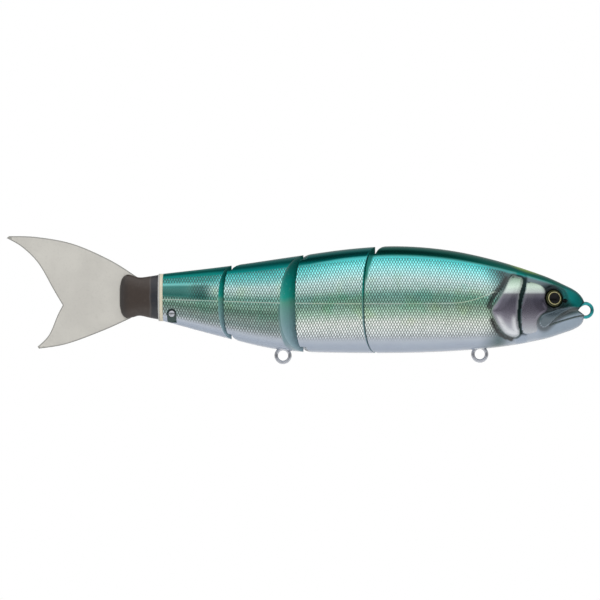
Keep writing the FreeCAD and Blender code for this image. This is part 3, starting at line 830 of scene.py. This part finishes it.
def skin_material():
    """Clear coat over painted, metallised film stamped with diamond scales."""
    n = new_nodes("scale_foil_skin")
    shown, matt, deep = n.field("scales"), n.field("matt"), n.field("deep")
    u = n.math("DIVIDE", n.field("scale_u"), SCALE_WIDE)
    v = n.math("DIVIDE", n.field("scale_v"), SCALE_TALL)
    a, b = n.math("ADD", u, v), n.math("SUBTRACT", u, v)
    edge = diamond_edge(n, a, b)
    # each scale is darker at its rim, carries a painted highlight on one side of its facet fading to
    # painted shade on the other, and is a little brighter or darker than the next
    cell = n.add("ShaderNodeTexWhiteNoise", [n.joined(n.math("FLOOR", a), n.math("FLOOR", b))],
                 noise_dimensions="2D")
    slope = n.math("ADD", n.math("FRACT", a), n.math("SUBTRACT", 1, n.math("FRACT", b)))
    facet_light_and_tone = n.line(n.times(slope, 0.5), -0.55, 1.38)
    facet_light_and_tone = n.times(facet_light_and_tone, n.line(cell.outputs["Value"], 0.22, 0.9))
    bright = n.times(n.ramp(n.ramp(edge, 0.03, 0.23), 0, 1, 0.12, 1), facet_light_and_tone)
    share = n.line(n.math("SUBTRACT", bright, 1), shown, 1)
    colour = n.mix(1, n.field("paint", "Color"), n.joined(share, share, share), "MULTIPLY")
    # lateral line, then drifts of light and patches of olive and green in the stripe
    line = n.ramp(n.size(n.field("lateral")), 0.36, 0.16)
    colour = n.mix(n.times(line, 0.55), colour, (0.8, 0.95, 0.84))
    colour = n.mix(n.line(n.noise(140, 3), 0.24, -0.06), colour, (0.9, 0.96, 0.9), "SOFT_LIGHT")
    stripe = n.times(n.ramp(n.size(n.field("rise")), 0.62, 0.3), shown)
    for scale, low, high, most, tint in ((75, 0.5, 0.66, 0.26, (0.86, 0.92, 0.42)),
                                         (105, 0.54, 0.68, 0.35, (0.42, 0.88, 0.74))):
        patches = n.times(n.ramp(n.noise(scale), low, high, 0, most), stripe)
        colour = n.mix(patches, colour, tint, "MULTIPLY")
    height = n.line(n.noise(2600, 1), n.line(matt, 0.014, 0.002), n.times(edge, shown))
    metal = n.math("MAXIMUM", n.line(shown, 0.45, 0.25), n.line(matt, -0.75, 0.75))
    return n.set(colour=colour, metal=n.math("MAXIMUM", metal, deep), rough=n.line(matt, 0.06, 0.2),
                 coat=n.line(deep, -0.9, 1), coat_rough=0.04, normal=n.bump(height, 0.00014, 0.8))


def joint_material():
    """Painted noses and cups of the joints: teal above, grey-blue below, no scales."""
    n = new_nodes("joint_paint")
    rise = n.line(n.noise(90, 3), 0.16, n.math("SUBTRACT", n.field("rise"), 0.08))
    colour = n.colours(n.ramp(rise, -1, 1), [
        (0, 0.26, 0.38, 0.44), (0.18, 0.2, 0.35, 0.37), (0.42, 0.15, 0.34, 0.31),
        (0.54, 0.11, 0.35, 0.27), (0.62, 0.015, 0.33, 0.27), (0.85, 0.001, 0.22, 0.19),
        (1, 0.001, 0.07, 0.06)])
    colour = n.mix(n.ramp(n.noise(900), 0.62, 0.75, 0, 0.25), colour, (0.25, 0.5, 0.45))
    return n.set(colour=colour, metal=0, rough=0.4, coat=0.6, coat_rough=0.06,
                 normal=n.bump(n.noise(1800), 0.00003, 0.4))


def steel_material(name, tint, rough):
    n = new_nodes(name)
    cloud = n.noise(700, 3)
    colour = n.mix(n.ramp(cloud, 0.35, 0.75), tint, tuple(0.82 * c for c in tint))
    return n.set(colour=colour, metal=1, rough=n.line(cloud, 0.12, rough - 0.05),
                 normal=n.bump(n.noise(5000), 0.00001, 0.25))


def plastic_material(name, tint, other, rough, coat=0):
    n = new_nodes(name)
    fine = n.noise(3500)
    return n.set(colour=n.mix(n.ramp(n.noise(160, 4), 0.3, 0.7), tint, other),
                 rough=n.line(fine, 0.15, rough - 0.07), coat=coat, coat_rough=0.06,
                 normal=n.bump(fine, 0.00002, 0.35))


def eye_material(name, coat):
    """Black pupil, gold ring, dark surround and thin outer ring, by distance from the middle."""
    n = new_nodes(name)
    fibre = n.noise(1500, 3)
    radius = n.line(fibre, 0.03, n.math("DIVIDE", n.field("from_middle"), SOCKET_R))
    colour = n.colours(radius, [
        (0, 0.0004, 0.0004, 0.0004), (0.6, 0.0005, 0.0005, 0.0005), (0.64, 0.26, 0.24, 0.08),
        (0.67, 0.62, 0.58, 0.34), (0.71, 0.07, 0.07, 0.02), (0.75, 0.001, 0.001, 0.001),
        (0.79, 0.001, 0.001, 0.001), (0.83, 0.1, 0.11, 0.035), (0.87, 0.001, 0.002, 0.001),
        (1, 0.001, 0.002, 0.002)])
    return n.set(colour=colour, rough=n.line(fibre, 0.1, 0.4), coat=coat, coat_rough=0.02,
                 specular=0.05, normal=n.bump(fibre, 0.00002, 0.3))


def elastomer_material():
    """Smoky rubber: slate rim, warm dark front, a painted highlight along the fold between them, dull
    bloom in clouds.
    """
    n = new_nodes("smoky_elastomer")
    t = n.line(n.noise(220, 4), 0.06, n.math("SUBTRACT", n.field("along_boot"), 0.03))
    colour = n.mix(n.ramp(t, 0.15, 0.23), (0.013, 0.015, 0.022), (0.036, 0.024, 0.018))
    colour = n.mix(n.ramp(t, 0.7, 1, 0, 0.8), colour, (0.014, 0.012, 0.012))
    # painted highlight along the fold where the flare changes
    fold = n.ramp(n.size(n.math("SUBTRACT", t, 0.2)), 0.035, 0, 0, 0.5)
    colour = n.mix(fold, colour, (0.085, 0.078, 0.08))
    colour = n.mix(n.ramp(n.noise(600, 3), 0.5, 0.75, 0, 0.25), colour, (0.06, 0.046, 0.038))
    fine = n.noise(2600)
    return n.set(colour=colour, rough=n.line(fine, 0.14, 0.3), coat=0.4, coat_rough=0.15,
                 normal=n.bump(fine, 0.00004, 0.5))


def fin_material():
    """Frosted warm grey sheet with faint mottling and a darker edge."""
    n = new_nodes("frosted_sheet")
    fine = n.noise(900, 3)
    colour = n.mix(n.ramp(n.noise(60, 5), 0.35, 0.68), (0.53, 0.515, 0.475), (0.58, 0.565, 0.52))
    colour = n.mix(n.ramp(fine, 0.52, 0.7, 0, 0.15), colour, (0.38, 0.37, 0.34))
    colour = n.mix(n.ramp(n.field("from_edge"), 0.75, 0.25, 0, 0.7), colour, (0.13, 0.135, 0.125))
    return n.set(colour=colour, rough=n.line(fine, 0.2, 0.34), coat=0.3, coat_rough=0.12,
                 normal=n.bump(n.noise(420, 4), 0.00006, 0.35))


def spacer_material():
    """Cream plastic, whiter and greyer towards the boot."""
    n = new_nodes("cream_plastic")
    colour = n.mix(n.ramp(n.field("from_front"), 1.4, 1.9), (0.66, 0.6, 0.46), (0.44, 0.44, 0.42))
    colour = n.mix(n.ramp(n.noise(300, 3), 0.4, 0.7, 0, 0.25), colour, (0.56, 0.53, 0.45))
    return n.set(colour=colour, rough=0.35, coat=0.4, coat_rough=0.1,
                 normal=n.bump(n.noise(2500), 0.00002, 0.4))


def foil_material():
    """Diamond-stamped reflector film inside the shells."""
    n = new_nodes("reflector_film")
    x, _, z = n.parts(n.place())
    u, v = n.math("DIVIDE", x, SCALE_WIDE * MM), n.math("DIVIDE", z, SCALE_TALL * MM)
    edge = diamond_edge(n, n.math("ADD", u, v), n.math("SUBTRACT", u, v))
    return n.set(colour=n.mix(n.ramp(edge, 0.03, 0.14), (0.25, 0.4, 0.38), (0.75, 0.86, 0.84)),
                 metal=0.9, rough=0.2, normal=n.bump(edge, 0.00012, 0.8))


SKIN = skin_material()
JOINT = joint_material()
RECESS = plastic_material("recess_paint", (0.006, 0.035, 0.034), (0.012, 0.055, 0.05), 0.35, 0.6)
STEEL = steel_material("hinge_steel", (0.62, 0.62, 0.6), 0.25)
POLISHED = steel_material("polished_steel", (0.56, 0.58, 0.63), 0.12)
TINTED = steel_material("tinted_wire", (0.05, 0.42, 0.44), 0.16)
BALLAST = steel_material("ballast_metal", (0.28, 0.28, 0.3), 0.5)
POST = plastic_material("post_plastic", (0.55, 0.54, 0.5), (0.62, 0.6, 0.56), 0.4)
SPACER = spacer_material()
BOOT_RUBBER = elastomer_material()
FIN_SHEET = fin_material()
FOIL = foil_material()
IRIS = eye_material("painted_iris", 0)
LENS = eye_material("eye_under_lens", 0.35)


# ---- pieces

TAIL_PIN = (-211.3, -1.6)
PIN_R, PIN_NECK, PIN_CROWN = 1.7, 1, 1.1
KEYHOLE_DEPTH = 1.3
KEYHOLE_R, KEYHOLE_HALF, KEYHOLE_DROP, KEYHOLE_SLOPE = 2.5, 2.4, 4.7, 2
CLEAR = 12                 # how far a cutting tool reaches past the skin
MOUTH_NOTCH = [(-4.1, 0), (3, 9), (3, -5.1)]
RING_ROOM_R, RING_ROOM_HALF = 4.65, 1.075
WIRE_R = 0.875
RING_R = 3.475
LEGS = math.radians(38)    # slope of the two legs that close the line ring
LINE_STEM_END = -14.8
HOOK_STEM = 8.3
HOOK_RINGS = (("front_belly", -53.9, -22.4, 0), ("rear_belly", -154.9, -23, 2))


def place(obj, index, node, body, slot, *materials):
    """Settle a piece into the rest pose, and let it stand for its CAD node and ride on its body."""
    mesh = obj.data
    mesh.vertices.foreach_set("co", settle(points_of(mesh), index).ravel())
    mesh.update()
    for material in materials:
        mesh.materials.append(material)
    if body:
        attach(obj, body)
    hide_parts(node)


def keyhole_cuts(side):
    """Recess round the cross pin, running down to the belly's edge, its floor sloping inwards."""
    x, z = TAIL_PIN
    seat = abs(skin_place(x, z, side)[0].y) - KEYHOLE_DEPTH
    low, high = sorted((side * seat, side * (seat + CLEAR)))
    slot = block((x - KEYHOLE_HALF, low, z - KEYHOLE_DROP), (x + KEYHOLE_HALF, high, z))
    for vertex in slot.data.vertices:
        if vertex.co.z < z - 1 and abs(vertex.co.y) < seat + 1:
            vertex.co.y -= side * KEYHOLE_SLOPE
    return [turned(drum(KEYHOLE_R, 0, CLEAR), (x, side * seat, z), (0, side, 0)), slot]


def build_half(index, side, word):
    obj = half_shell(index, side, word)
    coat_skin(obj.data)
    bevel = obj.modifiers.new("bevel", "BEVEL")
    bevel.limit_method = "WEIGHT"
    bevel.width = RIM_ROUND
    bevel.segments = 2
    apply_modifiers(obj)
    tools = []
    if index > 0:
        for z in HINGES[index - 1]["eyes"]:
            tools += hinge_slot(HINGES[index - 1], z)
    else:
        spot, out = skin_place(*EYE, side)
        tools += [prism_across(MOUTH_NOTCH, CLEAR),
                  turned(drum(RING_ROOM_R, -RING_ROOM_HALF, RING_ROOM_HALF), (0, 0, 0), (0, 1, 0)),
                  turned(drum(SOCKET_R, -SOCKET_DEPTH, CLEAR), spot, out, 64)]
    if index == len(HINGES):
        tools += keyhole_cuts(side)
    cut(obj, tools)
    add_fields(obj, index)
    sharpen(obj, 38)
    place(obj, index, f"{SECTIONS[index]}_shell_{word}", SECTIONS[index], "skin")


def wire(name, stem, ring):
    """Round wire: an open stem and a closed ring, as lists of points."""
    curve = bpy.data.curves.new(name, "CURVE")
    curve.dimensions = "3D"
    curve.bevel_depth = WIRE_R
    curve.bevel_resolution = 6
    curve.use_fill_caps = True
    for points in (stem, ring):
        spline = curve.splines.new("POLY")
        spline.points.add(len(points) - 1)
        for point, co in zip(spline.points, points):
            point.co = (*co, 1)
        spline.use_cyclic_u = points is ring
    temp = link(name, curve)
    mesh = evaluated_mesh(temp)
    bpy.data.objects.remove(temp)
    mesh.polygons.foreach_set("use_smooth", [True] * len(mesh.polygons))
    return link(name, mesh)


def arc(x, z, angles):
    return [(x + RING_R * math.cos(a), 0, z + RING_R * math.sin(a)) for a in angles]


for index in range(len(SECTIONS)):
    for side, word in SIDES:
        build_half(index, side, word)

# rings that carry the line and the hooks; the line ring's two legs meet behind it
meet = -RING_R / math.sin(LEGS)
loop = [(meet, 0, 0)] + arc(0, 0, np.linspace(math.pi / 2 + LEGS, -math.pi / 2 - LEGS, 56))
ring = wire("line_ring", [(meet + 0.3, 0, 0), (LINE_STEM_END, 0, 0)], loop)
place(ring, 0, "line_eye", "head", "tinted_wire", TINTED)
for name, x, z, index in HOOK_RINGS:
    circle = arc(x, z, round_angles(64))
    ring = wire(name + "_ring", [(x, 0, z + RING_R), (x, 0, z + HOOK_STEM)], circle)
    place(ring, index, name + "_eye", SECTIONS[index], "polished_steel", POLISHED)

# the fish's eyes: (radius, height) profiles of the painted dish and of the clear dome in it
DISH = [
    (0, -1.55), (2.6, -1.5), (2.9, -1.42), (3.4, -1.35), (3.9, -1.4), (4.15, -1.3), (4.2, -0.35),
    (4.35, -0.18), (4.6, -0.22), (4.7, -0.4), (4.7, -2.3), (0, -2.3)]
DISH_STEPS = [(r0 + (r1 - r0) * k / 4, h0 + (h1 - h0) * k / 4)
              for (r0, h0), (r1, h1) in zip(DISH, DISH[1:]) for k in range(4)] + DISH[-1:]
DOME_R, DOME_RISE, DOME_TOP = 4.15, 1.8, 1.6
ball = (DOME_R ** 2 + DOME_RISE ** 2) / (2 * DOME_RISE)
DOME = [(r, math.sqrt(ball ** 2 - r ** 2) - ball + DOME_TOP) for r in np.linspace(0, 4.12, 24)]
DOME += [(DOME_R, -0.3), (4.1, -1.2), (3.4, -1.25), (2.4, -1.4), (0, -1.45)]
for side, word in SIDES:
    spot, out = skin_place(*EYE, side)
    iris = turned(DISH_STEPS, spot, out, 64, "iris_disc_" + word)
    lens = sharpen(turned(DOME, spot, out, 64, "lens_dome_" + word))
    for eye in (iris, lens):
        away = [v.co - spot for v in eye.data.vertices]
        set_field(eye.data, "from_middle", [(a - out * a.dot(out)).length for a in away])
    place(iris, 0, "iris_" + word, "head", "iris", IRIS)
    place(lens, 0, "eye_lens_" + word, "head", "lens", LENS)

# cross pin that carries the tail hook, with a domed head at each end
x, z = TAIL_PIN
seat = abs(skin_place(x, z, 1)[0].y) - KEYHOLE_DEPTH
dome = [(PIN_R * math.sin(a), seat + PIN_CROWN * (1 + math.cos(a)) / 2)
        for a in np.linspace(math.pi / 2, 0.2, 9)]
upper = [(PIN_NECK, seat), (PIN_R, seat), *dome, (0, seat + PIN_CROWN)]
lower = [(radius, -height) for radius, height in reversed(upper)]
hook_pin = sharpen(turned(lower + upper, (x, 0, z), (0, 1, 0), 40, "hook_pin"))
place(hook_pin, 3, "tail_hook_pin", "peduncle", "polished_steel", POLISHED)


# ---- tail

# the boot's sections: place behind the body, half-width, bottom, top, superellipse power
BOOT = [
    (-2.5, 5.1, -4.7, 18.1, 2.6), (-6.8, 4.2, -3.9, 17.4, 2.8), (-12.3, 3, -2.8, 16.8, 3),
    (-15.8, 3.1, -3.6, 17.8, 3.2), (-18.8, 3, -4, 18.2, 3.4), (-21.3, 2.1, -1.9, 16, 3.2),
    (-22.3, 1.1, 1.6, 12.4, 2.8)]
SPACER_THICK = 2.5
FIN_EDGES = [
    [(-13.5, 17), (-27.5, 25.7), (-46.5, 33.9), (-65, 37.4), (-79.2, 37.9)],
    [(-80.4, 36.9), (-72.4, 32.2), (-64, 23.8), (-56.2, 10.3), (-51.6, 2.6)],
    [(-51.6, 2.6), (-54.3, -2.6), (-58.7, -12.6), (-64.5, -18.6)],
    [(-63.8, -19.6), (-49.4, -17.1), (-29.9, -9.9), (-13.5, -2.4)],
]
FIN_HALF = 0.6
FIN_TAB = [(-10.2, 1), (-10.2, 12.6)]
FIN_RIMS = [(0, 0.36), (0.07, 0.49), (0.2, 0.57)]     # drawn-in depth and half-thickness
FIN_ROUND = 0.4
FIN_GRID = 1.1
BOOT_STEPS = 96            # points round the boot and round the spacer
SPACER_STEPS = 120


def ring_points(x, half, bottom, top, power, steps):
    across, up = oval(round_angles(steps), power)
    z = (top + bottom) / 2 + (top - bottom) / 2 * up
    return np.stack([np.full(steps, float(x)), half * across, z], 1)


def tube(name, rings, steps):
    """Closed tube through rings of points, capped at both ends."""
    faces = []
    for j in range(len(rings) - 1):
        faces += band_faces(j * steps, (j + 1) * steps, steps)
    faces.append(tuple(range(steps))[::-1])
    faces.append(tuple((len(rings) - 1) * steps + k for k in range(steps)))
    return sharpen(new_object(name, np.concatenate(rings), faces))


def boot_mesh():
    """Smooth loft through the boot's sections, with a soft lip round its front edge."""
    table = np.array(sorted(BOOT))
    front, rear = BOOT[0][0], BOOT[-1][0]
    rings = []
    for x in np.concatenate([np.linspace(front, rear + 1, 44), np.linspace(rear + 0.8, rear, 8)]):
        half, bottom, top, power = (float(along(table[:, [0, k]], x)) for k in range(1, 5))
        lip = 0.35 * (1 - min(1, (front - x) / 0.5)) ** 2
        rings.append(ring_points(BODY_REAR + x, half - lip, bottom + lip, top - lip, power,
                                 BOOT_STEPS))
    obj = tube("boot_sleeve", rings, BOOT_STEPS)
    behind = BODY_REAR + front - np.concatenate(rings)[:, 0]
    set_field(obj.data, "along_boot", behind / (front - rear))
    return obj


def spacer_mesh():
    """Plate as wide as the body's end, with rounded edges and a groove nearer the boot."""
    half = float(along(BREADTH, BODY_REAR))
    bottom, top = float(along(BELLY, BODY_REAR)), float(along(BACK, BODY_REAR))
    rings = []
    for depth in (0, 0.12, 0.35, 0.9, 1.55, 1.65, 1.75, 2.2, 2.4, SPACER_THICK):
        edge = 0.22 * max(0, 1 - depth / 0.3, 1 - (SPACER_THICK - depth) / 0.3)
        draw = edge + 0.14 * max(0, 1 - abs(depth - 1.65) / 0.11)
        rings.append(ring_points(BODY_REAR - depth, half - draw, bottom + draw, top - draw, POWER,
                                 SPACER_STEPS))
    obj = tube("spacer_plate", rings, SPACER_STEPS)
    set_field(obj.data, "from_front", BODY_REAR - np.concatenate(rings)[:, 0])
    return obj


def fin_outline():
    loop = FIN_TAB + [tuple(p) for edge in FIN_EDGES for p in curve_through(edge, False, 14)]
    kept = loop[:1]
    for p in loop[1:]:
        if math.dist(p, kept[-1]) > 0.12:
            kept.append(p)
    return np.array(kept)


def grid_inside(loop, step):
    """Even grid of points well inside an outline."""
    low, high = loop.min(0), loop.max(0)
    grid = np.meshgrid(np.arange(low[0], high[0], step), np.arange(low[1], high[1], step))
    x, z = (values.ravel() for values in grid)
    return np.stack([x, z], 1)[depth_in(x, z, loop) > 0.75 * step]


def offset_loop(loop, depth):
    """The outline drawn in by a small depth."""
    before, after = np.roll(loop, 1, 0), np.roll(loop, -1, 0)
    along_edge = after - before
    normal = np.stack([along_edge[:, 1], -along_edge[:, 0]], 1)
    normal /= np.maximum(np.linalg.norm(normal, axis=1, keepdims=True), 1e-9)
    area = 0.5 * np.sum(loop[:, 0] * after[:, 1] - after[:, 0] * loop[:, 1])
    return loop - normal * depth * np.sign(area)


def fin_sheet():
    """Flat sheet cut to the tail's outline, with rounded edges."""
    loop = fin_outline()
    count = len(loop)
    spots = np.concatenate([offset_loop(loop, FIN_ROUND), grid_inside(loop, FIN_GRID)])
    edges = [(i, (i + 1) % count) for i in range(count)]
    flat, _, tris, *_ = delaunay_2d_cdt([Vector(p) for p in spots], edges, [], 1, 1e-5)
    points, faces, starts = [], [], []
    for sign in (-1, 1):
        base = len(points)
        starts.append(base)
        for j, (depth, half) in enumerate(FIN_RIMS):
            points += [(BODY_REAR + x, sign * half, z) for x, z in offset_loop(loop, depth)]
            faces += band_faces(base + j * count, base + (j + 1) * count, count)
        faces += [tuple(len(points) + i for i in tri) for tri in tris]
        points += [(BODY_REAR + p.x, sign * FIN_HALF, p.y) for p in flat]
    faces += band_faces(*starts, count)
    obj = new_object("fin_sheet", points, faces)
    face_outwards(obj.data)
    co = np.array(points)
    set_field(obj.data, "from_edge", distance(co[:, 0] - BODY_REAR, co[:, 2], loop, True))
    return sharpen(obj, 35)


boot = boot_mesh()
place(boot, 3, "tail_boot", None, "smoky_elastomer", BOOT_RUBBER)
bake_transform(boot)
place(spacer_mesh(), 3, "tail_spacer", "peduncle", "cream_plastic", SPACER)
place(fin_sheet(), 3, "tail_fin", "tail_fin", "fin_plastic", FIN_SHEET)

# hidden hardware keeps its CAD shape
HIDDEN = {"hinge_pin": STEEL, "hinge_eye": STEEL, "tail_post": POST, "reflector": FOIL,
          "ballast": BALLAST}
for node, obj in frame["nodes"].items():
    for word, material in HIDDEN.items():
        if word in node:
            obj.data.materials.clear()
            obj.data.materials.append(material)


# ---- stage, light and camera

MIDDLE_X = -0.15
AIM = Vector((-0.1457, 0, 0.005))
FLOOR_Z = -0.25
FLOOR_R = 0.95
FLOOR_STEPS = 96
floor = new_object("floor", [(MIDDLE_X + FLOOR_R * math.cos(a), FLOOR_R * math.sin(a), FLOOR_Z)
                             for a in round_angles(FLOOR_STEPS)], [tuple(range(FLOOR_STEPS))], False)
white = new_nodes("pale_floor")
paper = white.mix(white.ramp(white.noise(3, 3), 0.3, 0.7), (0.86, 0.86, 0.86), (0.9, 0.9, 0.9))
floor.data.materials.append(white.set(colour=paper, rough=0.9))


def studio_world():
    """White to the camera; to the object, a softbox sky with a dark horizon, dimmer behind."""
    world = bpy.data.worlds.new("studio")
    n = Nodes(world)
    n.tree.nodes.clear()
    x, y, z = n.parts(n.place("Generated"))
    sky = n.colours(n.line(z, 0.5, 0.5), [(spot, value, value, value) for spot, value in (
        (0, 0.75), (0.25, 0.75), (0.4, 0.62), (0.46, 0.3), (0.5, 0.2), (0.54, 0.3),
        (0.6, 0.8), (0.72, 1), (0.9, 1), (0.965, 0.8), (0.985, 0.1), (1, 0.05))])
    ends = n.ramp(n.size(x), 0.62, 0.85)
    light = n.add("ShaderNodeBackground", (n.mix(ends, sky, (0.6, 0.6, 0.6)),
                                           n.ramp(y, 0, 0.35, 1, 0.5)))
    seen = n.add("ShaderNodeBackground", ((1, 1, 1), 1))
    to_camera = n.add("ShaderNodeLightPath").outputs["Is Camera Ray"]
    mix = n.add("ShaderNodeMixShader", (to_camera, light.outputs[0], seen.outputs[0]))
    n.add("ShaderNodeOutputWorld", [mix.outputs[0]])
    bpy.context.scene.world = world


studio_world()
# a soft light on each side, which mirrors don't show
for name, y in (("key", -0.9), ("back_key", 0.9)):
    light = bpy.data.lights.new(name, "AREA")
    light.shape = "RECTANGLE"
    light.size, light.size_y = 1.4, 0.6
    light.energy = 5.5
    lamp = link(name, light)
    lamp.location = spot = Vector((MIDDLE_X, y, 0.7))
    lamp.visible_glossy = False
    lamp.rotation_euler = (AIM - spot).to_track_quat("-Z", "Y").to_euler()

view = bpy.data.cameras.new("camera")
view.lens = 188
view.clip_end = 100
camera = link("camera", view)
camera.location = (AIM.x, -1.6, 0.00526)
camera.rotation_euler = (math.radians(90), 0, 0)
bpy.context.scene.camera = camera
bpy.context.scene.view_settings.view_transform = "Standard"
